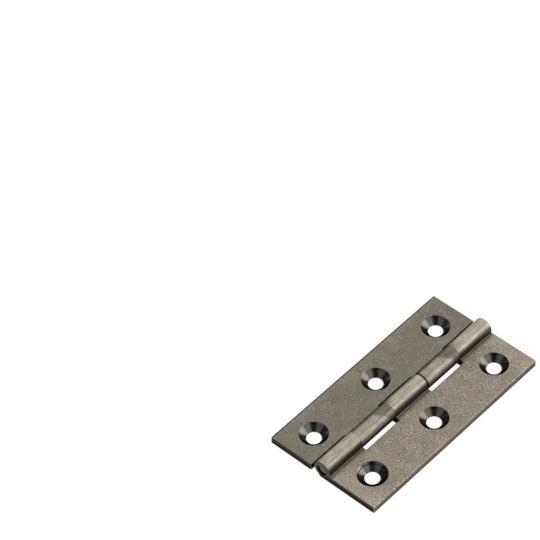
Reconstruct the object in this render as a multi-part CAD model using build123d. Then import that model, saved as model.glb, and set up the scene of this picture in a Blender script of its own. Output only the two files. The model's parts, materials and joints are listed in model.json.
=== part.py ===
from build123d import *

import math
import os

# Flat cabinet butt hinge, lying open. The pin runs along Y, the leaf with three knuckles is on +X and the leaf
# with two on -X. The flat backs lie on Z = 0, with the countersunk faces and the barrel upwards.
# All sizes are in millimetres.

# Overall sizes
HINGE_LENGTH = 64.0
OPEN_WIDTH = 35.0
LEAF_THICKNESS = 1.85
BARREL_DIAMETER = 5.2
KNUCKLE_COUNT = 5

# Rounding of the drawn section and of its cut edges
ROOT_RADIUS = 0.25
CORNER_RADIUS = 0.15
EDGE_RADIUS = 0.12

# Room for the other leaf's knuckles. The joints between knuckles are counted from the front, and one is looser.
NOTCH_CLEARANCE = 1.12
TIGHT_PLAY = 0.04
LOOSE_PLAY = 0.22
LOOSE_JOINT = 3

# Pin
PIN_DIAMETER = 3.0
PIN_RECESS = 0.4
PIN_CHAMFER = 0.15
PIN_RUNNING_CLEARANCE = 0.05

# Screw holes
HOLE_DIAMETER = 4.1
HOLE_LAND = 0.05
COUNTERSINK_ANGLE = 93.0
COUNTERSINK_RIM_RADIUS = 0.08
SCREW_EDGE_MARGIN = 7.5
SCREW_END_MARGIN = 8.0

# The front hole of the three-knuckle leaf was sunk twice, and keeps a ledge
LEDGE_WIDTH = 0.2
LEDGE_DEPTH = 0.5

# Values worked out from those above
HALF_LENGTH = HINGE_LENGTH / 2
HALF_WIDTH = OPEN_WIDTH / 2
BARREL_RADIUS = BARREL_DIAMETER / 2
KNUCKLE_PITCH = HINGE_LENGTH / KNUCKLE_COUNT
NOTCH_EDGE = BARREL_RADIUS + NOTCH_CLEARANCE
SCREW_ROW = HALF_WIDTH - SCREW_EDGE_MARGIN
SCREW_PLACES = [SCREW_END_MARGIN - HALF_LENGTH, 0.0, HALF_LENGTH - SCREW_END_MARGIN]
HOLE_RADIUS = HOLE_DIAMETER / 2
SINK_SLOPE = math.tan(math.radians(COUNTERSINK_ANGLE / 2))
SINK_RADIUS = HOLE_RADIUS + (LEAF_THICKNESS - HOLE_LAND) * SINK_SLOPE
CUT_MARGIN = BARREL_DIAMETER


def leaf_profile():
    """The drawn section of a leaf on +X: a flat plate whose back runs on as a tangent into the round barrel."""
    root_height = LEAF_THICKNESS + ROOT_RADIUS - BARREL_RADIUS
    root_reach = math.sqrt((BARREL_RADIUS + ROOT_RADIUS) ** 2 - root_height**2)
    root_angle = math.degrees(math.atan2(root_height, root_reach))
    outline = Line((0, 0), (HALF_WIDTH, 0))
    outline += Line((HALF_WIDTH, 0), (HALF_WIDTH, LEAF_THICKNESS))
    outline += Line((HALF_WIDTH, LEAF_THICKNESS), (root_reach, LEAF_THICKNESS))
    outline += CenterArc((root_reach, LEAF_THICKNESS + ROOT_RADIUS), ROOT_RADIUS, 180 + root_angle, 90 - root_angle)
    outline += CenterArc((0, BARREL_RADIUS), BARREL_RADIUS, root_angle, 270 - root_angle)
    return make_face(outline)


def leaf_blank():
    """The full-length drawn bar on +X, with its outer corners and its edges rounded."""
    end_plane = Plane((0, HALF_LENGTH, 0), x_dir=(1, 0, 0), z_dir=(0, -1, 0))
    bar = extrude(end_plane * leaf_profile(), HINGE_LENGTH)
    upright = bar.edges().filter_by(Axis.Z).group_by(Axis.X)[-1]
    bar = fillet(upright, CORNER_RADIUS)
    long_edge = bar.edges().filter_by(Axis.Y).group_by(Axis.X)[-1].sort_by(Axis.Z)[-1]
    return fillet(long_edge, EDGE_RADIUS)


def knuckle_span(index):
    """The two ends, along Y, of the place of one knuckle, counted from the front."""
    start = index * KNUCKLE_PITCH - HALF_LENGTH
    return start, start + KNUCKLE_PITCH


def joint_play(joint):
    """The play between the knuckles on both sides of a joint."""
    return LOOSE_PLAY if joint == LOOSE_JOINT else TIGHT_PLAY


def notch(start, end):
    """The block that clears the barrel and the gap beside it, between two places along Y, for a leaf on +X."""
    low = Vector(-CUT_MARGIN, start, -CUT_MARGIN)
    high = Vector(NOTCH_EDGE, end, BARREL_DIAMETER + CUT_MARGIN)
    size = high - low
    return Pos((low + high) / 2) * Box(size.X, size.Y, size.Z)


def pin_rod(radius, length):
    """A round bar on the pin's axis, centred along the hinge."""
    return Pos(0, 0, BARREL_RADIUS) * Rot(90, 0, 0) * Cylinder(radius, length)


def screw_hole(ledge):
    """The cutter for one countersunk hole on the Z axis, with a second sinking where it keeps a ledge."""
    top = LEAF_THICKNESS + CUT_MARGIN
    reach = HOLE_RADIUS + (top - HOLE_LAND) * SINK_SLOPE
    sides = [(0, -CUT_MARGIN), (HOLE_RADIUS, -CUT_MARGIN), (HOLE_RADIUS, HOLE_LAND)]
    if ledge:
        floor = LEAF_THICKNESS - LEDGE_DEPTH
        ledge_radius = SINK_RADIUS - LEDGE_DEPTH * SINK_SLOPE
        sides += [(ledge_radius, floor), (ledge_radius + LEDGE_WIDTH, floor)]
        reach += LEDGE_WIDTH
    sides += [(reach, top), (0, top)]
    return revolve(Plane.XZ * make_face(Polyline(*sides, close=True)), Axis.Z)


def drill_leaf(leaf, ledge_places):
    """Sinks the screw holes of a leaf on +X and eases their rims."""
    for place in SCREW_PLACES:
        leaf -= Pos(SCREW_ROW, place, 0) * screw_hole(place in ledge_places)
    top_circles = leaf.edges().filter_by(GeomType.CIRCLE).filter_by_position(
        Axis.Z, LEAF_THICKNESS, LEAF_THICKNESS
    )
    rims = top_circles.filter_by(lambda edge: edge.radius >= SINK_RADIUS - COUNTERSINK_RIM_RADIUS)
    return fillet(rims, COUNTERSINK_RIM_RADIUS)


def three_knuckle_leaf():
    """The leaf on +X, with the odd knuckles bored to hold the pin tight."""
    leaf = leaf_blank()
    for index in range(1, KNUCKLE_COUNT, 2):
        leaf -= notch(*knuckle_span(index))
    leaf = drill_leaf(leaf, SCREW_PLACES[:1])
    return leaf - pin_rod(PIN_DIAMETER / 2, HINGE_LENGTH + CUT_MARGIN)


def two_knuckle_leaf():
    """The leaf on -X, with the even knuckles bored to turn on the pin."""
    leaf = leaf_blank()
    for index in range(0, KNUCKLE_COUNT, 2):
        start, end = knuckle_span(index)
        before = CUT_MARGIN if index == 0 else joint_play(index)
        behind = CUT_MARGIN if index == KNUCKLE_COUNT - 1 else joint_play(index + 1)
        leaf -= notch(start - before, end + behind)
    leaf = drill_leaf(leaf, [])
    leaf -= pin_rod(PIN_DIAMETER / 2 + PIN_RUNNING_CLEARANCE, HINGE_LENGTH + CUT_MARGIN)
    return mirror(leaf, Plane.YZ)


def hinge_pin():
    """The pin, set a little below the faces of the end knuckles."""
    pin = pin_rod(PIN_DIAMETER / 2, HINGE_LENGTH - 2 * PIN_RECESS)
    return chamfer(pin.edges().filter_by(GeomType.CIRCLE), PIN_CHAMFER)


os.makedirs("parts", exist_ok=True)
export_step(three_knuckle_leaf(), "parts/three_knuckle_leaf.step")
export_step(two_knuckle_leaf(), "parts/two_knuckle_leaf.step")
export_step(hinge_pin(), "parts/hinge_pin.step")
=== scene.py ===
"""The looks of a small cabinet hinge: two drawn brass leaves with an aged finish, joined by a pin.

Meshes are worked out in millimetres, and scaled to the frame's metres when they are finished.
"""

import json
import logging
import math
from collections.abc import Sequence
from dataclasses import dataclass
from enum import Enum
from typing import Any

import bmesh
import bpy
from mathutils import Matrix, Vector


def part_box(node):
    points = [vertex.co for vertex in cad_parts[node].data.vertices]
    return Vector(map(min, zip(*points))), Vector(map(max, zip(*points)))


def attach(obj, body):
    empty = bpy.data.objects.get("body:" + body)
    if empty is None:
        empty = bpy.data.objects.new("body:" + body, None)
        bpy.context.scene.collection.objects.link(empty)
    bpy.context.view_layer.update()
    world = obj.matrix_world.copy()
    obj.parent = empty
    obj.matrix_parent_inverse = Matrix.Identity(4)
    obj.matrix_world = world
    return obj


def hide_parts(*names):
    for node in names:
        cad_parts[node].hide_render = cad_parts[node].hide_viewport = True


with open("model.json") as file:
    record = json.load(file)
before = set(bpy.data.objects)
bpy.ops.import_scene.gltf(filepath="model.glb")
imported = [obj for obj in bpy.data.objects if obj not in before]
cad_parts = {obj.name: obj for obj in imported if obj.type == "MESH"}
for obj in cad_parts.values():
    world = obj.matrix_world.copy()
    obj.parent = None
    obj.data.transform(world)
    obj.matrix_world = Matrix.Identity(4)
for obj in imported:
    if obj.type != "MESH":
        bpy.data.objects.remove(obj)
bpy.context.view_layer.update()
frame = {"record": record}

LOG = logging.getLogger("hinge")
MM = 0.001
SHARP_ANGLE = math.radians(30)
FLOAT, VECTOR, INTEGER = "NodeSocketFloat", "NodeSocketVector", "NodeSocketInt"
GEOMETRY, MATERIAL = "NodeSocketGeometry", "NodeSocketMaterial"
Colour = tuple[float, float, float]
Point = tuple[float, float]
Span = tuple[float, float]
Band = tuple[float, float, float, float]
Socket = bpy.types.NodeSocket


class Zone(Enum):
    """The differently finished surfaces of a leaf, in the order of its material slots."""

    FACE = 0
    BARREL = 1
    SINK = 2
    EDGE = 3
    SAWN = 4
    NOTCH = 5


@dataclass(frozen=True)
class HingeSizes:
    """The hinge's sizes in millimetres: those that the frame gives, then the small ones that it doesn't."""

    half_length: float
    half_width: float
    barrel_radius: float
    pin_radius: float
    pin_half_length: float
    hole_radius: float
    hole_pitch: float
    screw_row: float
    knuckle_count: int = 5
    leaf_thickness: float = 1.85
    root_radius: float = 0.25
    edge_ease: float = 0.15
    back_ease: float = 0.03
    notch_ease: float = 0.05
    barrel_end_ease: float = 0.2
    joint_ease: float = 0.03
    rim_ease: float = 0.08
    notch_clearance: float = 1.12
    tight_play: float = 0.04
    loose_play: float = 0.22
    loose_joint: int = 3
    bore_clearance: float = 0.05
    hole_land: float = 0.05
    sink_angle: float = 93.0
    ledge_width: float = 0.2
    ledge_depth: float = 0.5
    pin_chamfer: float = 0.15
    cut_margin: float = 1.0

    @classmethod
    def from_frame(cls) -> "HingeSizes":
        """Reads the main sizes from the frame's boxes and mounts.

        Returns:
            The hinge's sizes.
        """
        low, high = (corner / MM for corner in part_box("three_knuckle_leaf"))
        pin_low, pin_high = (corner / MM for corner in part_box("hinge_pin"))
        mounts = {mount["name"]: mount for mount in frame["record"]["mounts"]}
        screws = mounts["three_knuckle_leaf_front_screws"]
        return cls(
            half_length=high.y,
            half_width=high.x,
            barrel_radius=(high.z - low.z) / 2,
            pin_radius=(pin_high.x - pin_low.x) / 2,
            pin_half_length=pin_high.y,
            hole_radius=screws["dims"]["hole_r_mm"],
            hole_pitch=screws["dims"]["spacing_y_mm"],
            screw_row=screws["pos_m"][0] / MM,
        )

    @property
    def knuckle_pitch(self) -> float:
        """The length of one knuckle's place."""
        return 2 * self.half_length / self.knuckle_count

    @property
    def notch_edge(self) -> float:
        """How far from the pin's axis a notch's long wall stands."""
        return self.barrel_radius + self.notch_clearance

    @property
    def sink_slope(self) -> float:
        """How much a countersink widens for each millimetre that it rises."""
        return math.tan(math.radians(self.sink_angle / 2))

    @property
    def sink_radius(self) -> float:
        """The countersink's radius at the face."""
        return self.hole_radius + (self.leaf_thickness - self.hole_land) * self.sink_slope


class NodeSheet:
    """A node tree in the making, with short ways to add nodes and to wire them."""

    # A Mix node's sockets for numbers, vectors and colours share their names, so its colours go by place
    FIRST_COLOUR = 6
    SECOND_COLOUR = 7
    MIXED_COLOUR = 2

    def __init__(self, tree: bpy.types.NodeTree) -> None:
        """Starts work on a tree."""
        self.tree = tree

    def add(self, kind: str, feeds: dict[Any, Any] | None = None, **settings: Any) -> bpy.types.Node:
        """Adds one node.

        Args:
            kind: The node's type.
            feeds: Its inputs, by name or place: a value, or the output socket that is wired to it.
            settings: The node's own properties.

        Returns:
            The new node.
        """
        node = self.tree.nodes.new(kind)
        for name, value in settings.items():
            setattr(node, name, value)
        for key, value in (feeds or {}).items():
            self.feed(node.inputs[key], value)
        return node

    def feed(self, socket: Socket, value: Any) -> None:
        """Wires an output to an input socket, or sets the socket's value.

        Args:
            socket: The input socket.
            value: An output socket, or a plain value.
        """
        if isinstance(value, bpy.types.NodeSocket):
            self.tree.links.new(value, socket)
        else:
            socket.default_value = value

    def math(self, operation: str, *operands: Any) -> Socket:
        """Adds a sum, product or other operation on numbers, and returns its output."""
        return self.add("ShaderNodeMath", dict(enumerate(operands)), operation=operation).outputs[0]

    def vector(self, operation: str, *operands: Any, output: str = "Vector") -> Socket:
        """Adds an operation on vectors, and returns one of its outputs."""
        node = self.add("ShaderNodeVectorMath", dict(enumerate(operands)), operation=operation)
        return node.outputs[output]

    def join(self, **sides: Any) -> Socket:
        """Makes a vector of its X, Y and Z, as far as they are given, and returns it."""
        return self.add("ShaderNodeCombineXYZ", sides).outputs[0]

    def ramp(self, value: Any, start: Any, end: Any, low: Any = 0.0, high: Any = 1.0) -> Socket:
        """Adds a smooth step from low to high while the value goes from start to end. Returns its output."""
        feeds = {"Value": value, "From Min": start, "From Max": end, "To Min": low, "To Max": high}
        return self.add("ShaderNodeMapRange", feeds, interpolation_type="SMOOTHSTEP").outputs["Result"]

    def mix(self, share: Any, first: Any, second: Any) -> Socket:
        """Adds a mix of two colours, with a share of the second one, and returns its output."""
        feeds = {0: share, self.FIRST_COLOUR: first, self.SECOND_COLOUR: second}
        return self.add("ShaderNodeMix", feeds, data_type="RGBA").outputs[self.MIXED_COLOUR]

    def noise(self, place: Any, size: Any, detail: float = 2.0, roughness: float = 0.5) -> Socket:
        """Adds a noise.

        Args:
            place: Where it is read.
            size: The size of its blotches, in the units of the place.
            detail: How many finer layers it has.
            roughness: How strong those are.

        Returns:
            Its value.
        """
        scale = self.math("DIVIDE", 1.0, size)
        feeds = {"Vector": place, "Scale": scale, "Detail": detail, "Roughness": roughness}
        return self.add("ShaderNodeTexNoise", feeds).outputs[0]


def rgba(colour: Colour) -> tuple[float, float, float, float]:
    """Gives a colour full opacity."""
    return (*colour, 1.0)


def new_group(
    name: str, kind: str, inputs: dict[str, tuple[str, Any]], outputs: dict[str, str]
) -> tuple[NodeSheet, dict[str, Socket], bpy.types.Node]:
    """Starts a node group with named sockets.

    Args:
        name: The group's name.
        kind: The type of tree.
        inputs: The type and starting value of each input, by name. A value of None is left as it is.
        outputs: The type of each output, by name.

    Returns:
        The sheet to work on, the sockets that give the inputs inside the group, and the output node.
    """
    tree = bpy.data.node_groups.new(name, kind)
    for label, (socket_kind, value) in inputs.items():
        socket = tree.interface.new_socket(name=label, in_out="INPUT", socket_type=socket_kind)
        if value is not None:
            socket.default_value = value
    for label, socket_kind in outputs.items():
        tree.interface.new_socket(name=label, in_out="OUTPUT", socket_type=socket_kind)
    sheet = NodeSheet(tree)
    given = sheet.add("NodeGroupInput")
    return sheet, {label: given.outputs[label] for label in inputs}, sheet.add("NodeGroupOutput")


def plain_mesh(piece: bpy.types.Object) -> bpy.types.Mesh:
    """Turns an object with modifiers into the plain mesh that they make."""
    depsgraph = bpy.context.evaluated_depsgraph_get()
    return bpy.data.meshes.new_from_object(piece.evaluated_get(depsgraph), depsgraph=depsgraph)


def finished_mesh(name: str, shape: bmesh.types.BMesh) -> bpy.types.Mesh:
    """Turns a shape that is being worked on into a mesh.

    Args:
        name: The mesh's name.
        shape: The shape, which can't be used afterwards.

    Returns:
        The mesh.
    """
    mesh = bpy.data.meshes.new(name)
    shape.to_mesh(mesh)
    shape.free()
    return mesh


def new_object(name: str, mesh: bpy.types.Mesh) -> bpy.types.Object:
    """Puts a mesh into the scene.

    Args:
        name: The object's name.
        mesh: Its mesh.

    Returns:
        The object, at the origin.
    """
    piece = bpy.data.objects.new(name, mesh)
    bpy.context.scene.collection.objects.link(piece)
    return piece


def arc(centre: Point, radius: float, start: float, end: float, steps: int) -> list[Point]:
    """Points on an arc in a plane, both ends included, with its angles in degrees."""
    turns = [math.radians(start + (end - start) * step / steps) for step in range(steps + 1)]
    return [(centre[0] + radius * math.cos(turn), centre[1] + radius * math.sin(turn)) for turn in turns]


class LeafCuts:
    """The Geometry Nodes tree that cuts a drawn bar: rows of countersunk holes and notches, and the bore."""

    ROUND_STEPS = 96
    INPUTS = {
        "Bar": (GEOMETRY, None),
        "Finish": (MATERIAL, None),
        "First Hole": (VECTOR, None),
        "Hole Step": (VECTOR, None),
        "Hole Count": (INTEGER, 3),
        "Hole Radius": (FLOAT, 2.0),
        "Hole Depth": (FLOAT, 10.0),
        "Sink Low Radius": (FLOAT, 1.0),
        "Sink High Radius": (FLOAT, 5.0),
        "Sink Place": (VECTOR, None),
        "Sink Height": (FLOAT, 4.0),
        "Ledge Place": (VECTOR, None),
        "Ledge Low Radius": (FLOAT, 3.0),
        "Ledge High Radius": (FLOAT, 5.0),
        "Ledge Height": (FLOAT, 0.0),
        "First Notch": (VECTOR, None),
        "Notch Step": (VECTOR, None),
        "Notch Count": (INTEGER, 2),
        "Notch Size": (VECTOR, None),
        "Gap Place": (VECTOR, None),
        "Gap Length": (FLOAT, 0.0),
        "Bore Place": (VECTOR, None),
        "Bore Radius": (FLOAT, 1.5),
        "Bore Length": (FLOAT, 70.0),
    }

    def __init__(self) -> None:
        """Builds the tree."""
        self.sheet, self.given, out = new_group(
            "leaf_cuts", "GeometryNodeTree", self.INPUTS, {"Leaf": GEOMETRY}
        )
        sheet, given = self.sheet, self.given
        feeds = {"Mesh 1": given["Bar"], "Self Intersection": True}
        boolean = sheet.add("GeometryNodeMeshBoolean", feeds, operation="DIFFERENCE", solver="EXACT")
        for cutter in (self.bore(), self.notches(), self.gap(), self.ledge(), self.sinks(), self.holes()):
            sheet.feed(boolean.inputs["Mesh 2"], cutter)
        realized = sheet.add("GeometryNodeRealizeInstances", {"Geometry": boolean.outputs["Mesh"]})
        finish = {"Geometry": realized.outputs["Geometry"], "Material": given["Finish"]}
        sheet.feed(out.inputs["Leaf"], sheet.add("GeometryNodeSetMaterial", finish).outputs["Geometry"])

    def row(self, shape: Socket, first: str, step: str, count: str) -> Socket:
        """Repeats a shape along a row.

        Args:
            shape: The shape, about the origin.
            first: The input with the first one's place.
            step: The input with the way to the next one.
            count: The input with their number.

        Returns:
            All of them as one mesh.
        """
        sheet, given = self.sheet, self.given
        feeds = {"Count": given[count], "Start Location": given[first], "Offset": given[step]}
        line = sheet.add("GeometryNodeMeshLine", feeds, mode="OFFSET")
        places = sheet.add("GeometryNodeInstanceOnPoints", {"Points": line.outputs[0], "Instance": shape})
        return sheet.add("GeometryNodeRealizeInstances", {0: places.outputs[0]}).outputs[0]

    def moved(self, shape: Socket, place: str, turn: Sequence[float] = (0, 0, 0)) -> Socket:
        """Turns a shape and carries it to the place that an input gives."""
        feeds = {"Geometry": shape, "Translation": self.given[place], "Rotation": turn}
        return self.sheet.add("GeometryNodeTransform", feeds).outputs[0]

    def frustum(self, low: str, high: str, height: str) -> Socket:
        """A cone without its tip that stands on the origin.

        Args:
            low: The input with the radius at its foot.
            high: The input with the radius at its top.
            height: The input with its height.

        Returns:
            Its mesh.
        """
        feeds = {
            "Vertices": self.ROUND_STEPS,
            "Radius Top": self.given[high],
            "Radius Bottom": self.given[low],
            "Depth": self.given[height],
        }
        return self.sheet.add("GeometryNodeMeshCone", feeds).outputs["Mesh"]

    def rod(self, radius: str, length: str) -> Socket:
        """A round bar about the origin along Z, sized by two inputs."""
        feeds = {"Vertices": self.ROUND_STEPS, "Radius": self.given[radius], "Depth": self.given[length]}
        return self.sheet.add("GeometryNodeMeshCylinder", feeds).outputs["Mesh"]

    def only_with(self, length: str, shape: Socket) -> Socket:
        """Leaves a shape out where it has no length.

        Args:
            length: The input with its length.
            shape: The shape.

        Returns:
            The shape, or nothing.
        """
        wanted = self.sheet.add("FunctionNodeCompare", {0: self.given[length]}, operation="GREATER_THAN")
        feeds = {"Switch": wanted.outputs[0], "True": shape}
        return self.sheet.add("GeometryNodeSwitch", feeds, input_type="GEOMETRY").outputs[0]

    def holes(self) -> Socket:
        """The straight walls of the screw holes."""
        return self.row(self.rod("Hole Radius", "Hole Depth"), "First Hole", "Hole Step", "Hole Count")

    def sinks(self) -> Socket:
        """The countersinks, whose cones run on past the straight walls."""
        cone = self.frustum("Sink Low Radius", "Sink High Radius", "Sink Height")
        return self.row(self.moved(cone, "Sink Place"), "First Hole", "Hole Step", "Hole Count")

    def ledge(self) -> Socket:
        """The second, wider sinking of one hole, left out where it has no height."""
        cone = self.frustum("Ledge Low Radius", "Ledge High Radius", "Ledge Height")
        return self.only_with("Ledge Height", self.moved(cone, "Ledge Place"))

    def notches(self) -> Socket:
        """The blocks that clear the other leaf's knuckles."""
        block = self.sheet.add("GeometryNodeMeshCube", {"Size": self.given["Notch Size"]})
        return self.row(block.outputs["Mesh"], "First Notch", "Notch Step", "Notch Count")

    def gap(self) -> Socket:
        """Makes the block that opens the looser joint, left out where it has no length.

        Returns:
            Its mesh.
        """
        sides = self.sheet.add("ShaderNodeSeparateXYZ", {"Vector": self.given["Notch Size"]}).outputs
        size = self.sheet.join(X=sides["X"], Y=self.given["Gap Length"], Z=sides["Z"])
        block = self.sheet.add("GeometryNodeMeshCube", {"Size": size}).outputs["Mesh"]
        return self.only_with("Gap Length", self.moved(block, "Gap Place"))

    def bore(self) -> Socket:
        """The bore for the pin, along Y."""
        return self.moved(self.rod("Bore Radius", "Bore Length"), "Bore Place", (math.pi / 2, 0, 0))

    def put_on(self, piece: bpy.types.Object, values: dict[str, Any]) -> None:
        """Adds the tree to an object as a modifier.

        Args:
            piece: The object.
            values: The values of its inputs, by name.
        """
        tree = self.sheet.tree
        modifier = piece.modifiers.new("cuts", "NODES")
        modifier.node_group = tree
        keys = {item.name: item.identifier for item in tree.interface.items_tree if item.in_out == "INPUT"}
        for name, value in values.items():
            modifier[keys[name]] = value


@dataclass
class Leaf:
    """One leaf: a drawn section cut to length, with notches, a bored barrel and countersunk screw holes.

    An edge counts as lying on a surface when it is nearer to it than near, in millimetres. A face counts as
    square on to an axis when the part of its normal along that axis is over square_on.
    """

    name: str
    node: str
    body: str
    side: int
    first_notch: int
    bore_radius: float
    sizes: HingeSizes
    cuts: LeafCuts
    finishes: dict[Zone, bpy.types.Material]
    ledge: bool = False
    slot: str = "aged_finish"
    barrel_steps: int = 90
    root_steps: int = 8
    ease_steps: int = 3
    end_ease_rise: float = 0.25
    near: float = 0.01
    square_on: float = 0.9

    def section(self) -> list[Point]:
        """Works out the drawn section, a flat plate whose back runs on as a tangent into the barrel.

        Returns:
            Its points in X and Z.
        """
        sizes = self.sizes
        root_height = sizes.leaf_thickness + sizes.root_radius - sizes.barrel_radius
        root_reach = math.sqrt((sizes.barrel_radius + sizes.root_radius) ** 2 - root_height**2)
        root_angle = math.degrees(math.atan2(root_height, root_reach))
        root_centre = (root_reach, sizes.leaf_thickness + sizes.root_radius)
        points = [(sizes.half_width, 0.0), (sizes.half_width, sizes.leaf_thickness)]
        points += arc(root_centre, sizes.root_radius, 270, 180 + root_angle, self.root_steps)
        points += arc((0, sizes.barrel_radius), sizes.barrel_radius, root_angle, 270, self.barrel_steps)[1:]
        return [(self.side * x, z) for x, z in points]

    def bar(self) -> bpy.types.Object:
        """Draws the section out to the hinge's length.

        Returns:
            The bar, not yet cut.
        """
        shape = bmesh.new()
        start = [shape.verts.new((x, -self.sizes.half_length, z)) for x, z in self.section()]
        grown = bmesh.ops.extrude_face_region(shape, geom=[shape.faces.new(start)])
        far = [item for item in grown["geom"] if isinstance(item, bmesh.types.BMVert)]
        bmesh.ops.translate(shape, vec=(0, 2 * self.sizes.half_length, 0), verts=far)
        bmesh.ops.recalc_face_normals(shape, faces=shape.faces)
        return new_object(self.name + "_bar", finished_mesh(self.name, shape))

    def cut_values(self) -> dict[str, Any]:
        """Works out what the cutting tree needs to know of this leaf.

        Returns:
            The values of the tree's inputs, by name.
        """
        sizes = self.sizes
        row = self.side * sizes.screw_row
        sink_low = sizes.hole_radius - (sizes.hole_land + sizes.cut_margin) * sizes.sink_slope
        sink_height = sizes.leaf_thickness + 2 * sizes.cut_margin
        values = {
            "Finish": self.finishes[Zone.FACE],
            "First Hole": (row, -sizes.hole_pitch, 0.0),
            "Hole Step": (0.0, sizes.hole_pitch, 0.0),
            "Hole Radius": sizes.hole_radius,
            "Sink Low Radius": sink_low,
            "Sink High Radius": sink_low + sink_height * sizes.sink_slope,
            "Sink Place": (0.0, 0.0, -sizes.cut_margin),
            "Sink Height": sink_height,
            "Bore Place": (0.0, 0.0, sizes.barrel_radius),
            "Bore Radius": self.bore_radius,
            "Bore Length": 2 * (sizes.half_length + sizes.cut_margin),
        }
        values |= self.notch_values()
        if self.ledge:
            ledge_radius = sizes.sink_radius - sizes.ledge_depth * sizes.sink_slope + sizes.ledge_width
            ledge_height = sizes.ledge_depth + sizes.cut_margin
            values |= {
                "Ledge Place": (row, -sizes.hole_pitch, sizes.leaf_thickness - sizes.ledge_depth),
                "Ledge Low Radius": ledge_radius,
                "Ledge High Radius": ledge_radius + ledge_height * sizes.sink_slope,
                "Ledge Height": ledge_height,
            }
        return values

    def notch_values(self) -> dict[str, Any]:
        """Works out the notches, one in every other knuckle's place.

        The leaf whose notches start at the front end has play in them, for the other leaf's knuckles.

        Returns:
            The values of the tree's inputs for notches, by name.
        """
        sizes = self.sizes
        play = 0.0 if self.first_notch else sizes.tight_play
        reach = sizes.barrel_radius + sizes.cut_margin + sizes.notch_edge
        across = self.side * (sizes.notch_edge - reach / 2)
        first = (self.first_notch + 0.5) * sizes.knuckle_pitch - sizes.half_length
        height = 2 * (sizes.barrel_radius + sizes.cut_margin)
        values = {
            "First Notch": (across, first, sizes.barrel_radius),
            "Notch Step": (0.0, 2 * sizes.knuckle_pitch, 0.0),
            "Notch Count": (sizes.knuckle_count - self.first_notch + 1) // 2,
            "Notch Size": (reach, sizes.knuckle_pitch + 2 * play, height),
        }
        if play:
            joint = sizes.loose_joint * sizes.knuckle_pitch - sizes.half_length
            middle = joint + (sizes.loose_play - sizes.cut_margin) / 2
            values["Gap Place"] = (across, middle, sizes.barrel_radius)
            values["Gap Length"] = sizes.loose_play + sizes.cut_margin
        return values

    def from_hole(self, place: Vector) -> float:
        """How far a place is from the axis of the nearest screw hole."""
        along = self.sizes.hole_pitch * round(place.y / self.sizes.hole_pitch)
        return math.hypot(place.x - self.side * self.sizes.screw_row, place.y - along)

    def ease_of(self, edge: bmesh.types.BMEdge) -> float:
        """Finds how far an edge is rounded. Edges deep in a hole, and smooth ones, keep their form.

        Args:
            edge: An edge of the cut bar.

        Returns:
            The rounding's width in millimetres.
        """
        sizes = self.sizes
        if edge.calc_face_angle(0.0) < SHARP_ANGLE:
            return 0.0
        middle = (edge.verts[0].co + edge.verts[1].co) / 2
        if self.from_hole(middle) < sizes.sink_radius + 2 * sizes.ledge_width:
            return sizes.rim_ease if middle.z > sizes.leaf_thickness - self.near else 0.0
        if middle.z < self.near:
            return sizes.back_ease
        if abs(middle.y) > sizes.half_length - self.near:
            widest = sizes.barrel_end_ease if abs(middle.x) < sizes.notch_edge else sizes.edge_ease
            return min(widest, sizes.back_ease + middle.z * self.end_ease_rise)
        if math.hypot(middle.x, middle.z - sizes.barrel_radius) < sizes.barrel_radius + self.near:
            return sizes.joint_ease
        if abs(middle.x) < sizes.notch_edge + self.near:
            return sizes.notch_ease
        return sizes.edge_ease

    def eased(self, cut: bpy.types.Mesh) -> bpy.types.Mesh:
        """Rounds the edges of the cut bar, each by its own amount.

        Args:
            cut: The cut bar's mesh.

        Returns:
            A new mesh, with normals that keep the flats flat.
        """
        widest = max(self.sizes.edge_ease, self.sizes.barrel_end_ease)
        weights = cut.attributes.new("bevel_weight_edge", "FLOAT", "EDGE")
        sharp = cut.attributes.new("sharp_edge", "BOOLEAN", "EDGE")
        shape = bmesh.new()
        shape.from_mesh(cut)
        for index, edge in enumerate(shape.edges):
            ease = self.ease_of(edge)
            weights.data[index].value = ease / widest
            sharp.data[index].value = ease == 0.0 and edge.calc_face_angle(0.0) > SHARP_ANGLE
        shape.free()
        piece = new_object(self.name + "_cut", cut)
        cut.shade_smooth()
        bevel = piece.modifiers.new("ease", "BEVEL")
        bevel.limit_method = "WEIGHT"
        bevel.width = widest
        bevel.segments = self.ease_steps
        bevel.use_clamp_overlap = False
        piece.modifiers.new("flats", "WEIGHTED_NORMAL").keep_sharp = True
        mesh = plain_mesh(piece)
        bpy.data.objects.remove(piece)
        return mesh

    def zone_of(self, face: bpy.types.MeshPolygon) -> Zone:
        """Finds which finish a face of the mesh takes, by where it is and how it is turned.

        Args:
            face: A face of the leaf's mesh, in millimetres.

        Returns:
            The face's zone.
        """
        sizes = self.sizes
        place, normal = face.center, face.normal
        off_axis = math.hypot(place.x, place.z - sizes.barrel_radius)
        in_hole = self.from_hole(place) < sizes.sink_radius + sizes.ledge_width
        if in_hole and abs(normal.z) < self.square_on:
            return Zone.SINK
        if in_hole and 0 < place.z < sizes.leaf_thickness - sizes.rim_ease:
            return Zone.NOTCH
        at_end = abs(place.y) > sizes.half_length - sizes.barrel_end_ease
        if abs(normal.y) > self.square_on:
            return Zone.SAWN if at_end else Zone.NOTCH
        if off_axis < sizes.pin_radius + 2 * sizes.bore_clearance:
            return Zone.NOTCH
        if abs(normal.x) > self.square_on and place.z < sizes.leaf_thickness:
            return Zone.EDGE if abs(place.x) > sizes.screw_row else Zone.NOTCH
        if abs(off_axis - sizes.barrel_radius) < sizes.edge_ease and place.z > sizes.rim_ease:
            return Zone.SAWN if at_end else Zone.BARREL
        return Zone.FACE

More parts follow.
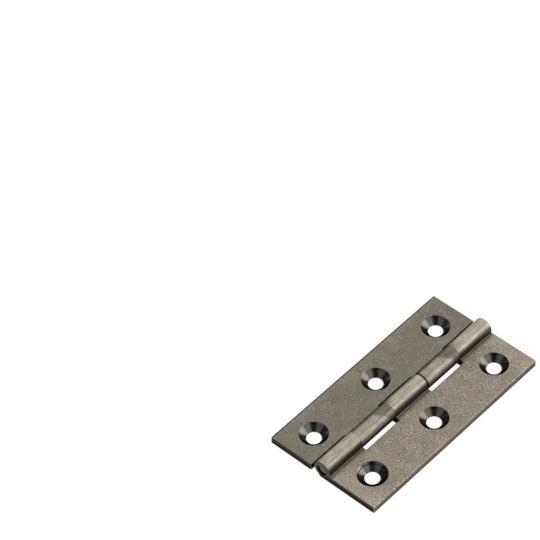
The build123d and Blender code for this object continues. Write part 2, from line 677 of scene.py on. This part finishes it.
    def build(self) -> bpy.types.Object:
        """Makes the leaf's mesh, still in millimetres.

        Returns:
            The leaf, at the origin, with its place in its mesh.
        """
        bar = self.bar()
        self.cuts.put_on(bar, self.cut_values())
        mesh = self.eased(plain_mesh(bar))
        bpy.data.objects.remove(bar)
        mesh.name = self.name
        return new_object(self.name, mesh)

    def dress(self, piece: bpy.types.Object) -> None:
        """Gives each zone its finish, scales the mesh to metres and sets the leaf on its body.

        Args:
            piece: The leaf, as it was built.
        """
        mesh = piece.data
        mesh.materials.clear()
        for zone in Zone:
            mesh.materials.append(self.finishes[zone])
        for face in mesh.polygons:
            face.material_index = self.zone_of(face).value
        mesh.transform(Matrix.Scale(MM, 4))
        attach(piece, self.body)
        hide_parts(self.node)


@dataclass
class Pin:
    """The pin: a plain drawn rod with chamfered ends."""

    name: str
    node: str
    body: str
    sizes: HingeSizes
    finish: bpy.types.Material
    slot: str = "pin_metal"
    round_steps: int = 64

    def stations(self) -> list[Point]:
        """Works out the rod's outline.

        Returns:
            Places along Y, with the radius at each.
        """
        end, radius, chamfer = self.sizes.pin_half_length, self.sizes.pin_radius, self.sizes.pin_chamfer
        half = [(end - chamfer, radius), (end, radius - chamfer)]
        return [(-along, reach) for along, reach in reversed(half)] + half

    def build(self) -> bpy.types.Object:
        """Turns the outline about the pin's axis.

        Returns:
            The pin in the frame's metres, at the origin, with its place in its mesh.
        """
        shape = bmesh.new()
        turns = [2 * math.pi * step / self.round_steps for step in range(self.round_steps)]
        height = self.sizes.barrel_radius
        rings = []
        for along, radius in self.stations():
            ring = [(radius * math.cos(turn), along, height + radius * math.sin(turn)) for turn in turns]
            rings.append([shape.verts.new(point) for point in ring])
        for ring, following in zip(rings, rings[1:]):
            for step in range(self.round_steps):
                after = (step + 1) % self.round_steps
                shape.faces.new((ring[step], ring[after], following[after], following[step]))
        shape.faces.new(rings[0])
        shape.faces.new(rings[-1])
        bmesh.ops.recalc_face_normals(shape, faces=shape.faces)
        bmesh.ops.scale(shape, vec=(MM, MM, MM), verts=shape.verts)
        mesh = finished_mesh(self.name, shape)
        mesh.shade_smooth()
        mesh.set_sharp_from_angle(angle=SHARP_ANGLE)
        return new_object(self.name, mesh)

    def dress(self, piece: bpy.types.Object) -> None:
        """Gives the pin its finish and sets it on its body.

        Args:
            piece: The pin, as it was built.
        """
        piece.data.materials.append(self.finish)
        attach(piece, self.body)
        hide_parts(self.node)


class SurfaceEffects:
    """Shader node groups that several finishes share. Places inside them are in millimetres."""

    # Sizes within the grain, as multiples of its speck size
    FINE_SIZE = 0.45
    TINT_SIZE = 1.8
    FLECK_SIZE = 1.4
    PATCH_SIZE = 10.0
    # The stretch of a noise's values that is spread from 0 to 1, for each pattern
    SPECK_RANGE = (0.33, 0.67)
    CLOUD_RANGE = (0.3, 0.7)
    TINT_RANGE = (0.3, 0.7)
    FLECK_RANGE = (0.58, 0.72)
    PATCH_RANGE = (0.36, 0.64)
    LINE_RANGE = (0.25, 0.75)
    # The fine specks' share, the specks' strength outside and inside patches, and a way to an unlike noise
    FINE_SHARE = 0.45
    PATCH_STRENGTHS = (0.7, 1.3)
    ASIDE = (31.0, 17.0, 5.0)

    def __init__(self) -> None:
        """Builds the groups."""
        self.grain = self.tumbled_grain()
        self.lines = self.draw_lines()

    def tumbled_grain(self) -> bpy.types.NodeTree:
        """Builds the speckle, the bright flecks, the slow clouds and the tints of a tumbled, aged surface.

        Returns:
            The node group.
        """
        inputs = {"Place": (VECTOR, None), "Speck Size": (FLOAT, 0.4), "Cloud Size": (FLOAT, 4.0)}
        outputs = {"Speck": FLOAT, "Fleck": FLOAT, "Cloud": FLOAT, "Tint": FLOAT}
        sheet, given, out = new_group("tumbled_grain", "ShaderNodeTree", inputs, outputs)
        place, size = given["Place"], given["Speck Size"]
        aside = sheet.vector("ADD", place, self.ASIDE)
        fine_size, tint_size, fleck_size, patch_size = (
            sheet.math("MULTIPLY", size, share)
            for share in (self.FINE_SIZE, self.TINT_SIZE, self.FLECK_SIZE, self.PATCH_SIZE)
        )
        coarse = sheet.math("MULTIPLY", sheet.noise(place, size, detail=1.0), 1 - self.FINE_SHARE)
        fine = sheet.noise(place, fine_size, detail=0.0)
        speck = sheet.ramp(sheet.math("MULTIPLY_ADD", fine, self.FINE_SHARE, coarse), *self.SPECK_RANGE)
        cloud = sheet.noise(place, given["Cloud Size"], detail=4.0, roughness=0.65)
        tint = sheet.noise(aside, tint_size, detail=1.0)
        spots = sheet.ramp(sheet.noise(aside, fleck_size, detail=1.0), *self.FLECK_RANGE)
        patches = sheet.ramp(sheet.noise(aside, patch_size, detail=2.0), *self.PATCH_RANGE)
        strength = sheet.ramp(patches, 0.0, 1.0, *self.PATCH_STRENGTHS)
        centred = sheet.math("SUBTRACT", speck, 0.5)
        sheet.feed(out.inputs["Speck"], sheet.math("MULTIPLY_ADD", centred, strength, 0.5))
        sheet.feed(out.inputs["Fleck"], sheet.math("MULTIPLY", spots, patches))
        sheet.feed(out.inputs["Cloud"], sheet.ramp(cloud, *self.CLOUD_RANGE))
        sheet.feed(out.inputs["Tint"], sheet.ramp(tint, *self.TINT_RANGE))
        return sheet.tree

    def draw_lines(self) -> bpy.types.NodeTree:
        """Builds fine lines along the hinge, as a drawing die leaves them.

        Returns:
            The node group.
        """
        inputs = {"Place": (VECTOR, None), "Line Width": (FLOAT, 0.2), "Line Length": (FLOAT, 8.0)}
        sheet, given, out = new_group("draw_lines", "ShaderNodeTree", inputs, {"Line": FLOAT})
        across = sheet.math("DIVIDE", 1.0, given["Line Width"])
        along = sheet.math("DIVIDE", 1.0, given["Line Length"])
        place = sheet.vector("MULTIPLY", given["Place"], sheet.join(X=across, Y=along, Z=across))
        sheet.feed(out.inputs["Line"], sheet.ramp(sheet.noise(place, 1.0), *self.LINE_RANGE))
        return sheet.tree


class Material:
    """A material in the making: its node sheet, its shader and the place on the piece in millimetres."""

    def __init__(self, name: str, glance: float, metallic: float = 1.0, specular: float = 0.5) -> None:
        """Starts a material with nothing but its shader and the place.

        Args:
            name: The material's name.
            glance: How bright a metal stays at a glancing angle.
            metallic: 1 for bare or plated metal, 0 for a coat of oxide.
            specular: The shine of what isn't metal.
        """
        self.material = bpy.data.materials.new(name)
        self.material.use_nodes = True
        self.sheet = NodeSheet(self.material.node_tree)
        self.shader = self.material.node_tree.nodes["Principled BSDF"]
        self.shader.inputs["Metallic"].default_value = metallic
        self.shader.inputs["Specular IOR Level"].default_value = specular
        self.shader.inputs["Specular Tint"].default_value = rgba((glance, glance, glance))
        self.place = self.scaled(self.sheet.add("ShaderNodeTexCoord").outputs["Object"], 1 / MM)
        self.x, self.y, self.z = self.sheet.add("ShaderNodeSeparateXYZ", {"Vector": self.place}).outputs
        self.out = self.sheet.math("ABSOLUTE", self.x)

    def group(self, tree: bpy.types.NodeTree, feeds: dict[str, float]) -> dict[str, Socket]:
        """Places a node group in the material, fed with the place and other values. Returns its outputs."""
        node = self.sheet.add("ShaderNodeGroup", {"Place": self.place, **feeds}, node_tree=tree)
        return {socket.name: socket for socket in node.outputs}

    def around_one(self, pattern: Any, spread: float) -> Socket:
        """Turns a pattern from 0 to 1 into a factor that goes as far below 1 as above it, by the spread."""
        return self.sheet.math("POWER", 1 + spread, self.sheet.math("MULTIPLY_ADD", pattern, 2.0, -1.0))

    def product(self, *factors: Any) -> Socket:
        """Multiplies factors together.

        Args:
            factors: The factors, two or more.

        Returns:
            Their product.
        """
        total = factors[0]
        for factor in factors[1:]:
            total = self.sheet.math("MULTIPLY", total, factor)
        return total

    def scaled(self, colour: Any, level: Any) -> Socket:
        """Makes a colour darker or lighter, or a place larger, by a level."""
        feeds = {0: colour, "Scale": level}
        return self.sheet.add("ShaderNodeVectorMath", feeds, operation="SCALE").outputs[0]

    def finish(self, colour: Any, roughness: Any, height: Any, depth: float) -> bpy.types.Material:
        """Wires the finish to the shader.

        Args:
            colour: The base colour.
            roughness: The roughness.
            height: A pattern from 0 to 1 that stands proud where it is high.
            depth: How far it stands proud, in millimetres.

        Returns:
            The finished material.
        """
        self.sheet.feed(self.shader.inputs["Base Color"], colour)
        self.sheet.feed(self.shader.inputs["Roughness"], roughness)
        bump = self.sheet.add("ShaderNodeBump", {"Height": height, "Distance": depth * MM, "Strength": 1.0})
        self.sheet.feed(self.shader.inputs["Normal"], bump.outputs["Normal"])
        return self.material


@dataclass(frozen=True)
class FaceFinish:
    """A leaf's flat face: relieved patina over brass, speckled and clouded, with painted shade at the
    barrel's root
    and a painted band along its free edge: a highlight where it is lighter, shade where it is darker.

    The end and side spans are distances from the leaf's ends and its free edge, where a change starts and is
    whole. Lengths are in millimetres.
    """

    name: str
    tone: Colour
    speckle: float
    flecks: float
    clouds: float
    tint: float
    end_level: float
    side_level: float
    painted_edge_level: float
    painted_edge_reach: float
    root_shade_level: float
    root_reach: float
    tint_green: float = 0.25
    end_span: Span = (8.0, 2.0)
    side_span: Span = (2.5, 0.9)
    painted_edge_blend: float = 0.25
    root_shade_gap: float = 0.1
    roughness: float = 0.42
    polish: float = 0.05
    speck_size: float = 0.36
    cloud_size: float = 3.5
    glance: float = 0.65
    bump: float = 0.004

    def tinted(self, share: float) -> Colour:
        """The tone, shifted by a share towards red, or towards green where the share is negative."""
        red, green, blue = self.tone
        return red * (1 + share), green * (1 - share * self.tint_green), blue

    def make(self, effects: SurfaceEffects, sizes: HingeSizes) -> bpy.types.Material:
        """Builds the material.

        Args:
            effects: The shared node groups.
            sizes: The hinge's sizes.

        Returns:
            The material.
        """
        work = Material(self.name, self.glance)
        sheet = work.sheet
        grain = work.group(effects.grain, {"Speck Size": self.speck_size, "Cloud Size": self.cloud_size})
        along = sheet.math("ABSOLUTE", work.y)
        end_start, end_whole = (sizes.half_length - reach for reach in self.end_span)
        side_start, side_whole = (sizes.half_width - reach for reach in self.side_span)
        painted_edge_start = sizes.half_width - self.painted_edge_reach
        root_shade_start = sizes.barrel_radius + self.root_shade_gap
        level = work.product(
            work.around_one(grain["Speck"], self.speckle),
            sheet.math("MULTIPLY_ADD", grain["Fleck"], self.flecks, 1.0),
            work.around_one(grain["Cloud"], self.clouds),
            sheet.ramp(along, end_start, end_whole, 1.0, self.end_level),
            sheet.ramp(work.out, side_start, side_whole, 1.0, self.side_level),
            # Painted band along the free edge: a highlight where its level is above 1, shade where it is
            # below
            sheet.ramp(work.out, painted_edge_start, painted_edge_start + self.painted_edge_blend, 1.0, self.painted_edge_level),
            # Painted shade on the face beside the barrel's root
            sheet.ramp(work.out, root_shade_start, root_shade_start + self.root_reach, self.root_shade_level, 1.0),
        )
        cool_share = sheet.math("MULTIPLY", grain["Tint"], sheet.math("SUBTRACT", 1.0, grain["Fleck"]))
        tone = sheet.mix(cool_share, rgba(self.tinted(self.tint)), rgba(self.tinted(-self.tint)))
        dull, shiny = self.roughness + self.polish, self.roughness - self.polish
        roughness = sheet.ramp(grain["Cloud"], 0.0, 1.0, dull, shiny)
        return work.finish(work.scaled(tone, level), roughness, grain["Speck"], self.bump)


@dataclass(frozen=True)
class BarrelFinish:
    """A leaf's knuckles: burnished on the crest and free side, darker in the crease by patina and painted
    shade.

    Angles round the barrel are in degrees from its crest, and lengths along it are in millimetres. An oxide
    band, partly patina in the crevice and partly painted shade, starts, is full, thins and ends at its four
    angles.
    """

    name: str
    tone: Colour
    side: int
    crease_turn: Span
    crease_level: float
    root_shade_level: float
    glance: float
    right_oxide_shade_band: Band
    front_level: float = 1.0
    middle_level: float = 1.0
    loose_joint_shade_level: float = 1.0
    left_oxide_shade_band: Band = (68.0, 96.0, 104.0, 124.0)
    root_shade_turn: Span = (92.0, 104.0)
    front_turn: Span = (-30.0, 40.0)
    front_reach: Span = (0.2, 2.2)
    middle_turn: Span = (-65.0, 0.0)
    rear_patch: bool = False
    rear_patch_turn: Span = (-70.0, 30.0)
    rear_patch_reach: Span = (2.4, 5.4)
    rear_patch_blend: Span = (-0.35, 0.4)
    rear_patch_level: float = 0.55
    oxide_shade_tone: Colour = (0.012, 0.011, 0.009)
    oxide_shade_roughness: float = 0.7
    oxide_shade_shine: float = 0.06
    roughness: float = 0.3
    polish: float = 0.04
    speckle: float = 0.2
    clouds: float = 0.1
    lines: float = 0.2
    bump: float = 0.003

    def make(self, effects: SurfaceEffects, sizes: HingeSizes) -> bpy.types.Material:
        """Builds the material.

        Args:
            effects: The shared node groups.
            sizes: The hinge's sizes.

        Returns:
            The material.
        """
        work = Material(self.name, self.glance, specular=self.oxide_shade_shine)
        sheet = work.sheet
        grain = work.group(effects.grain, {"Speck Size": 0.4, "Cloud Size": 2.5})
        lines = work.group(effects.lines, {"Line Width": 0.45, "Line Length": 5.0})
        above = sheet.math("SUBTRACT", work.z, sizes.barrel_radius)
        turn = sheet.math("DEGREES", sheet.math("ARCTAN2", work.x, above))
        to_crease = sheet.math("MULTIPLY", turn, float(self.side))
        # Darker towards the crease: partly patina, partly painted shade; it eases to the root shade level at
        # the fillet
        patina = sheet.ramp(to_crease, *self.crease_turn, 1.0, self.crease_level)
        root = sheet.ramp(to_crease, *self.root_shade_turn, 0.0, self.root_shade_level)
        patina = sheet.math("MAXIMUM", patina, root)
        if self.rear_patch:
            patina = sheet.math("MINIMUM", patina, self.darker_rear_patch(work, to_crease, sizes))
        level = work.product(
            patina,
            self.beside_joints(work, turn, sizes),
            self.middle_knuckle(work, turn, sizes),
            work.around_one(grain["Speck"], self.speckle),
            work.around_one(grain["Cloud"], self.clouds),
            work.around_one(lines["Line"], self.lines),
        )
        # Oxide bands under the barrel, near-black and matt: partly patina in the crevices, partly painted
        # shade
        right = self.band(work, turn, self.right_oxide_shade_band)
        left = self.band(work, sheet.math("MULTIPLY", turn, -1.0), self.left_oxide_shade_band)
        oxide = sheet.math("ADD", right, left)
        colour = sheet.mix(oxide, work.scaled(self.tone, level), rgba(self.oxide_shade_tone))
        sheet.feed(work.shader.inputs["Metallic"], sheet.math("SUBTRACT", 1.0, oxide))
        dull, shiny = self.roughness + self.polish, self.roughness - self.polish
        metal = sheet.ramp(grain["Cloud"], 0.0, 1.0, dull, shiny)
        roughness = sheet.ramp(oxide, 0.0, 1.0, metal, self.oxide_shade_roughness)
        return work.finish(colour, roughness, grain["Speck"], self.bump)

    @staticmethod
    def band(work: Material, turn: Any, span: Band) -> Socket:
        """A band round the barrel that starts, is full, thins and ends at four angles."""
        start, full, thin, end = span
        return work.product(work.sheet.ramp(turn, start, full), work.sheet.ramp(turn, thin, end, 1.0, 0.0))

    @staticmethod
    def behind(work: Material, knuckle: int, sizes: HingeSizes) -> Socket:
        """How far a place is behind the front of a knuckle, or of the like one two places further back."""
        from_front = work.sheet.math("ADD", work.y, sizes.half_length - knuckle * sizes.knuckle_pitch)
        return work.sheet.math("FLOORED_MODULO", from_front, 2 * sizes.knuckle_pitch)

    def beside_joints(self, work: Material, turn: Any, sizes: HingeSizes) -> Socket:
        """Leaves patina at the front of each knuckle but the first, and painted shade on both sides of the
        looser joint.

        Args:
            work: The material.
            turn: The angle round the barrel.
            sizes: The hinge's sizes.

        Returns:
            The level of the tone.
        """
        sheet = work.sheet
        pitch = sizes.knuckle_pitch
        first_end = pitch - sizes.half_length
        first = sheet.ramp(work.y, first_end, first_end + pitch / 2, 1.0, 0.0)
        kept = sheet.ramp(turn, *self.front_turn, self.front_level, 1.0)
        front = sheet.ramp(self.behind(work, 0, sizes), *self.front_reach, kept, 1.0)
        # Painted shade on both sides of the looser joint, where its gap lies in shade
        joint = sizes.loose_joint * pitch - sizes.half_length + sizes.loose_play / 2
        away = sheet.math("ABSOLUTE", sheet.math("SUBTRACT", work.y, joint))
        loose_joint_shade = sheet.ramp(away, sizes.loose_play / 2, 2 * sizes.loose_play, self.loose_joint_shade_level, 1.0)
        return work.product(sheet.math("MAXIMUM", first, front), loose_joint_shade)

    def middle_knuckle(self, work: Material, turn: Any, sizes: HingeSizes) -> Socket:
        """Leaves patina on the left side of the middle knuckle, which was rubbed less than the others.

        Args:
            work: The material.
            turn: The angle round the barrel.
            sizes: The hinge's sizes.

        Returns:
            The level of the tone.
        """
        from_middle = work.sheet.math("ABSOLUTE", work.y)
        level = work.sheet.ramp(turn, *self.middle_turn, self.middle_level, 1.0)
        return work.sheet.ramp(from_middle, sizes.knuckle_pitch / 2, sizes.knuckle_pitch, level, 1.0)

    def darker_rear_patch(self, work: Material, to_crease: Any, sizes: HingeSizes) -> Socket:
        """Darkens the back of the knuckle over a stretch that grows towards the crease.

        Args:
            work: The material.
            to_crease: The angle round the barrel towards the crease.
            sizes: The hinge's sizes.

        Returns:
            The level of the tone.
        """
        sheet = work.sheet
        from_back = sheet.math("SUBTRACT", sizes.knuckle_pitch, self.behind(work, 1, sizes))
        reach = sheet.ramp(to_crease, *self.rear_patch_turn, *self.rear_patch_reach)
        past = sheet.math("SUBTRACT", from_back, reach)
        return sheet.ramp(past, *self.rear_patch_blend, self.rear_patch_level, 1.0)


@dataclass(frozen=True)
class SinkFinish:
    """The machined walls of the screw holes, still dark, with fine turning rings."""

    name: str = "sunk_wall"
    tone: Colour = (0.15, 0.142, 0.126)
    roughness: Span = (0.14, 0.22)
    ring_size: float = 0.22
    ring_range: Span = (0.3, 0.7)
    ring_levels: Span = (0.82, 1.18)
    clouds: float = 0.1
    glance: float = 0.05
    bump: float = 0.002

    def make(self, effects: SurfaceEffects, sizes: HingeSizes) -> bpy.types.Material:
        """Builds the material.

        Args:
            effects: The shared node groups.
            sizes: The hinge's sizes.

        Returns:
            The material.
        """
        work = Material(self.name, self.glance)
        sheet = work.sheet
        pitch = sizes.hole_pitch
        across = sheet.math("SUBTRACT", work.out, sizes.screw_row)
        # Each hole is in the middle of its own stretch of one pitch
        within = sheet.math("FLOORED_MODULO", sheet.math("ADD", work.y, 1.5 * pitch), pitch)
        along = sheet.math("SUBTRACT", within, pitch / 2)
        radius = sheet.vector("LENGTH", sheet.join(X=across, Y=along), output="Value")
        ring = sheet.noise(radius, self.ring_size)
        grain = work.group(effects.grain, {"Speck Size": 0.35, "Cloud Size": 1.5})
        rings = sheet.ramp(ring, *self.ring_range, *self.ring_levels)
        level = work.product(rings, work.around_one(grain["Cloud"], self.clouds))
        roughness = sheet.ramp(ring, *self.ring_range, *self.roughness)
        return work.finish(work.scaled(self.tone, level), roughness, ring, self.bump)


@dataclass(frozen=True)
class CutFinish:
    """A cut or drawn edge with its patina whole, lined by the tool, with painted shade towards the back.

    The back's level, painted shade, passes into the full tone between the two heights of the back span. On
    the barrel's end, the ring round the pin is rubbed to the ring level, from the ring start upwards.
    Lengths are in millimetres.
    """

    name: str
    tone: Colour
    roughness: float
    line_width: float
    line_length: float
    bottom_shade_level: float = 1.0
    bottom_shade_span: Span = (0.0, 0.9)
    ring_level: float = 1.0
    ring_start: float = 0.6
    ring_blend: float = 0.3
    mottling: float = 0.2
    polish: float = 0.06
    glance: float = 0.65
    metallic: float = 1.0
    specular: float = 0.1
    bump: float = 0.005

    def make(self, effects: SurfaceEffects, sizes: HingeSizes) -> bpy.types.Material:
        """Builds the material.

        Args:
            effects: The shared node groups.
            sizes: The hinge's sizes.

        Returns:
            The material.
        """
        work = Material(self.name, self.glance, self.metallic, self.specular)
        sheet = work.sheet
        barrel = sizes.barrel_radius
        lines = work.group(effects.lines, {"Line Width": self.line_width, "Line Length": self.line_length})
        grain = work.group(effects.grain, {"Speck Size": 0.4, "Cloud Size": 1.2})
        above = sheet.math("SUBTRACT", work.z, barrel)
        off_axis = sheet.vector("LENGTH", sheet.join(X=work.x, Z=above), output="Value")
        rubbed = sheet.ramp(work.z, self.ring_start, barrel, 1.0, self.ring_level)
        level = work.product(
            work.around_one(lines["Line"], self.mottling),
            work.around_one(grain["Cloud"], self.mottling),
            sheet.ramp(off_axis, barrel, barrel + self.ring_blend, rubbed, 1.0),
            # Painted shade towards the back, where the edge meets the floor
            sheet.ramp(work.z, *self.bottom_shade_span, self.bottom_shade_level, 1.0),
        )
        shiny, dull = self.roughness - self.polish, self.roughness + self.polish
        roughness = sheet.ramp(grain["Speck"], 0.0, 1.0, shiny, dull)
        return work.finish(work.scaled(self.tone, level), roughness, lines["Line"], self.bump)


def bearing(azimuth: float, elevation: float) -> Vector:
    """The way towards an azimuth, counted from +Y towards +X, and an elevation, both in degrees."""
    around, above = math.radians(azimuth), math.radians(elevation)
    return Vector((math.sin(around) * math.cos(above), math.cos(around) * math.cos(above), math.sin(above)))


@dataclass(frozen=True)
class SkyLobe:
    """A soft light far off, or a dim patch if its strength is negative: its place, width and strength."""

    azimuth: float
    elevation: float
    core: float
    rim: float
    strength: float


@dataclass(frozen=True)
class Studio:
    """The pale floor, the soft light and the camera.

    The camera's distance is in millimetres, and the floor's sizes are in metres.
    """

    fill: float = 0.4
    lobes: tuple[SkyLobe, ...] = (
        SkyLobe(azimuth=-45, elevation=55, core=10, rim=75, strength=0.66),
        SkyLobe(azimuth=38, elevation=21, core=8, rim=30, strength=2.08),
        SkyLobe(azimuth=85, elevation=40, core=5, rim=28, strength=0.54),
        SkyLobe(azimuth=135, elevation=47, core=10, rim=27, strength=-0.39),
        SkyLobe(azimuth=-128, elevation=20, core=12, rim=28, strength=-0.38),
        SkyLobe(azimuth=135, elevation=12, core=8, rim=30, strength=0.6),
    )
    image_size: int = 540
    sensor: float = 36.0
    view_azimuth: float = 134.3468
    view_elevation: float = 47.4255
    view_roll: float = -3.8775
    view_distance: float = 715.54
    focal_pixels: float = 2762.73
    origin_pixel: Point = (404.82, 402.92)
    floor_half: float = 3.0
    floor_drop: float = 0.00001
    floor_tone: Colour = (0.24, 0.24, 0.24)
    floor_lift: float = 0.9
    touch_reach: float = 0.00004
    contact_shadow_reach: float = 0.0003
    contact_shadow_lean: tuple[float, float, float] = (0.0, 0.5, 0.866)
    contact_shadow_range: Span = (0.5, 1.0)

    def light(self) -> None:
        """Sets up the world: an even fill with soft lobes."""
        world = bpy.data.worlds.new("studio")
        world.use_nodes = True
        bpy.context.scene.world = world
        sheet = NodeSheet(world.node_tree)
        way = sheet.add("ShaderNodeTexCoord").outputs["Generated"]
        total: Any = self.fill
        for lobe in self.lobes:
            towards = bearing(lobe.azimuth, lobe.elevation)
            nearness = sheet.vector("DOT_PRODUCT", way, towards, output="Value")
            rim, core = math.cos(math.radians(lobe.rim)), math.cos(math.radians(lobe.core))
            total = sheet.math("ADD", total, sheet.ramp(nearness, rim, core, 0.0, lobe.strength))
        background = world.node_tree.nodes["Background"]
        sheet.feed(background.inputs["Strength"], total)
        sheet.feed(background.inputs["Color"], (1.0, 1.0, 1.0, 1.0))

    def floor(self) -> None:
        """Lays the pale floor, which looks white and keeps the hinge's shadow."""
        shape = bmesh.new()
        half = self.floor_half
        corners = [(-half, -half), (half, -half), (half, half), (-half, half)]
        shape.faces.new([shape.verts.new((x, y, -self.floor_drop)) for x, y in corners])
        mesh = finished_mesh("floor", shape)
        floor = new_object("floor", mesh)
        mesh.materials.append(self.floor_material())

    def floor_material(self) -> bpy.types.Material:
        """Makes a matt floor that the camera and shiny surfaces see lifted to white, with a painted contact
        shadow close to the hinge.

        It is clear from below and to short rays from what lies on it, so that backs can be seen and are lit.

        Returns:
            The material.
        """
        material = bpy.data.materials.new("pale_floor")
        material.use_nodes = True
        sheet = NodeSheet(material.node_tree)
        sheet.tree.nodes.clear()
        path = sheet.add("ShaderNodeLightPath").outputs
        seen = sheet.math("MAXIMUM", path["Is Camera Ray"], path["Is Glossy Ray"])
        seen = sheet.math("MAXIMUM", seen, path["Is Transmission Ray"])
        matt = sheet.add("ShaderNodeBsdfDiffuse", {"Color": rgba(self.floor_tone)})
        # Painted contact shadow: the lift fades where ambient occlusion, leant towards +Y, finds the hinge
        # close by
        lean = sheet.join(**dict(zip("XYZ", self.contact_shadow_lean)))
        near = sheet.add("ShaderNodeAmbientOcclusion", {"Distance": self.contact_shadow_reach, "Normal": lean})
        open_sky = sheet.ramp(near.outputs["AO"], *self.contact_shadow_range, 0.0, self.floor_lift)
        lift = sheet.add("ShaderNodeEmission", {"Strength": sheet.math("MULTIPLY", seen, open_sky)})
        both = sheet.add("ShaderNodeAddShader", {0: matt.outputs[0], 1: lift.outputs[0]})
        other_ray = sheet.math("SUBTRACT", 1.0, path["Is Camera Ray"])
        touching = sheet.math("LESS_THAN", path["Ray Length"], self.touch_reach)
        touching = sheet.math("MULTIPLY", touching, other_ray)
        backs = sheet.add("ShaderNodeNewGeometry").outputs["Backfacing"]
        share = sheet.math("MAXIMUM", backs, touching)
        clear = sheet.add("ShaderNodeBsdfTransparent").outputs[0]
        surface = sheet.add("ShaderNodeMixShader", {0: share, 1: both.outputs[0], 2: clear}).outputs[0]
        sheet.add("ShaderNodeOutputMaterial", {"Surface": surface})
        return material

    def camera(self) -> None:
        """Sets the camera where the photograph was taken from."""
        back = bearing(self.view_azimuth, self.view_elevation)
        level = Vector((-back.y, back.x, 0.0)).normalized()
        upright = back.cross(level)
        roll = math.radians(self.view_roll)
        right = level * math.cos(roll) + upright * math.sin(roll)
        up = upright * math.cos(roll) - level * math.sin(roll)
        half = self.image_size / 2
        per_pixel = self.view_distance / self.focal_pixels
        aside = (self.origin_pixel[0] - half) * per_pixel
        below = (self.origin_pixel[1] - half) * per_pixel
        eye = (back * self.view_distance - right * aside + up * below) * MM
        data = bpy.data.cameras.new("camera")
        data.sensor_width = self.sensor
        data.lens = self.focal_pixels / self.image_size * self.sensor
        camera = bpy.data.objects.new("camera", data)
        camera.matrix_world = Matrix.Translation(eye) @ Matrix((right, up, back)).transposed().to_4x4()
        bpy.context.scene.collection.objects.link(camera)
        bpy.context.scene.camera = camera

    def build(self) -> None:
        """Sets up the light, the floor and the camera."""
        self.light()
        self.floor()
        self.camera()
        bpy.context.scene.view_settings.view_transform = "Standard"


def leaf_finishes(effects: SurfaceEffects, sizes: HingeSizes) -> dict[str, dict[Zone, bpy.types.Material]]:
    """Makes the finishes of both leaves.

    Args:
        effects: The shared node groups.
        sizes: The hinge's sizes.

    Returns:
        The material of each zone, for each leaf's node.
    """
    cut = {
        Zone.SINK: SinkFinish(),
        Zone.EDGE: CutFinish(
            "drawn_edge", (0.2, 0.182, 0.139), roughness=0.4, line_width=0.15, line_length=10.0,
            bottom_shade_level=0.5, bottom_shade_span=(0.2, 1.6),
        ),
        # Sawn ends near-black: partly the dark patina of a cut end, partly painted shade
        Zone.SAWN: CutFinish(
            "sawn_end_and_shade", (0.04, 0.036, 0.028), roughness=0.45, line_width=0.3, line_length=0.3,
            bottom_shade_level=0.02, bottom_shade_span=(0.4, 1.0), ring_level=2.6,
        ),
        # Near-black, matt walls of the notches, the inner knuckle ends and the bore: painted shade in these
        # recesses
        Zone.NOTCH: CutFinish(
            "notch_wall_painted_shade", (0.003, 0.0027, 0.002), roughness=0.8, line_width=0.3, line_length=0.3,
            metallic=0.0, specular=0.0,
        ),
    }
    light = {
        # The light leaf's face: painted shade at the root, a painted highlight along its free edge
        Zone.FACE: FaceFinish(
            "light_face", (0.279, 0.245, 0.194), speckle=0.62, flecks=0.0, clouds=0.06, tint=0.04,
            end_level=1.2, side_level=1.04, painted_edge_level=1.4, painted_edge_reach=0.35, root_shade_level=0.45, root_reach=0.5,
        ),
        Zone.BARREL: BarrelFinish(
            "light_barrel", (0.392, 0.352, 0.283), side=1, crease_turn=(26.0, 70.0), crease_level=0.2,
            root_shade_level=0.45, glance=0.6, right_oxide_shade_band=(78.0, 92.0, 92.0, 102.0), front_level=0.5,
            middle_level=0.38, loose_joint_shade_level=0.1,
        ),
    }
    dark = {
        # The dark leaf's face: painted shade at the root and along its free edge
        Zone.FACE: FaceFinish(
            "dark_face", (0.201, 0.184, 0.146), speckle=0.28, flecks=0.6, clouds=0.07, tint=0.065,
            end_level=0.96, side_level=1.12, painted_edge_level=0.3, painted_edge_reach=0.55, root_shade_level=0.8, root_reach=0.8,
        ),
        Zone.BARREL: BarrelFinish(
            "dark_barrel", (0.31, 0.28, 0.226), side=-1, crease_turn=(2.0, 32.0), crease_level=0.5,
            root_shade_level=0.5, glance=0.3, right_oxide_shade_band=(64.0, 88.0, 96.0, 116.0), loose_joint_shade_level=0.1, rear_patch=True,
        ),
    }
    shared = {zone: finish.make(effects, sizes) for zone, finish in cut.items()}
    own = {"three_knuckle_leaf": light, "two_knuckle_leaf": dark}
    return {
        node: shared | {zone: finish.make(effects, sizes) for zone, finish in finishes.items()}
        for node, finishes in own.items()
    }


def main() -> None:
    """Builds and dresses the hinge's pieces, and sets up the studio."""
    logging.basicConfig(level=logging.INFO, format="%(name)s: %(message)s")
    sizes = HingeSizes.from_frame()
    effects = SurfaceEffects()
    cuts = LeafCuts()
    finishes = leaf_finishes(effects, sizes)
    brass = CutFinish(
        "pin_brass", (0.16, 0.122, 0.06), roughness=0.4, line_width=0.5, line_length=0.5, mottling=0.6
    )
    hinge = (
        Leaf(
            "leaf_with_three_knuckles", "three_knuckle_leaf", "leaf_with_pin", side=1, first_notch=1,
            bore_radius=sizes.pin_radius, sizes=sizes, cuts=cuts,
            finishes=finishes["three_knuckle_leaf"], ledge=True,
        ),
        Leaf(
            "leaf_with_two_knuckles", "two_knuckle_leaf", "turning_leaf", side=-1, first_notch=0,
            bore_radius=sizes.pin_radius + sizes.bore_clearance, sizes=sizes, cuts=cuts,
            finishes=finishes["two_knuckle_leaf"],
        ),
        Pin("knuckle_pin", "hinge_pin", "leaf_with_pin", sizes, brass.make(effects, sizes)),
    )
    for part in hinge:
        piece = part.build()
        part.dress(piece)
        LOG.info("%s: %d faces", piece.name, len(piece.data.polygons))
    Studio().build()


if __name__ == "__main__":
    main()
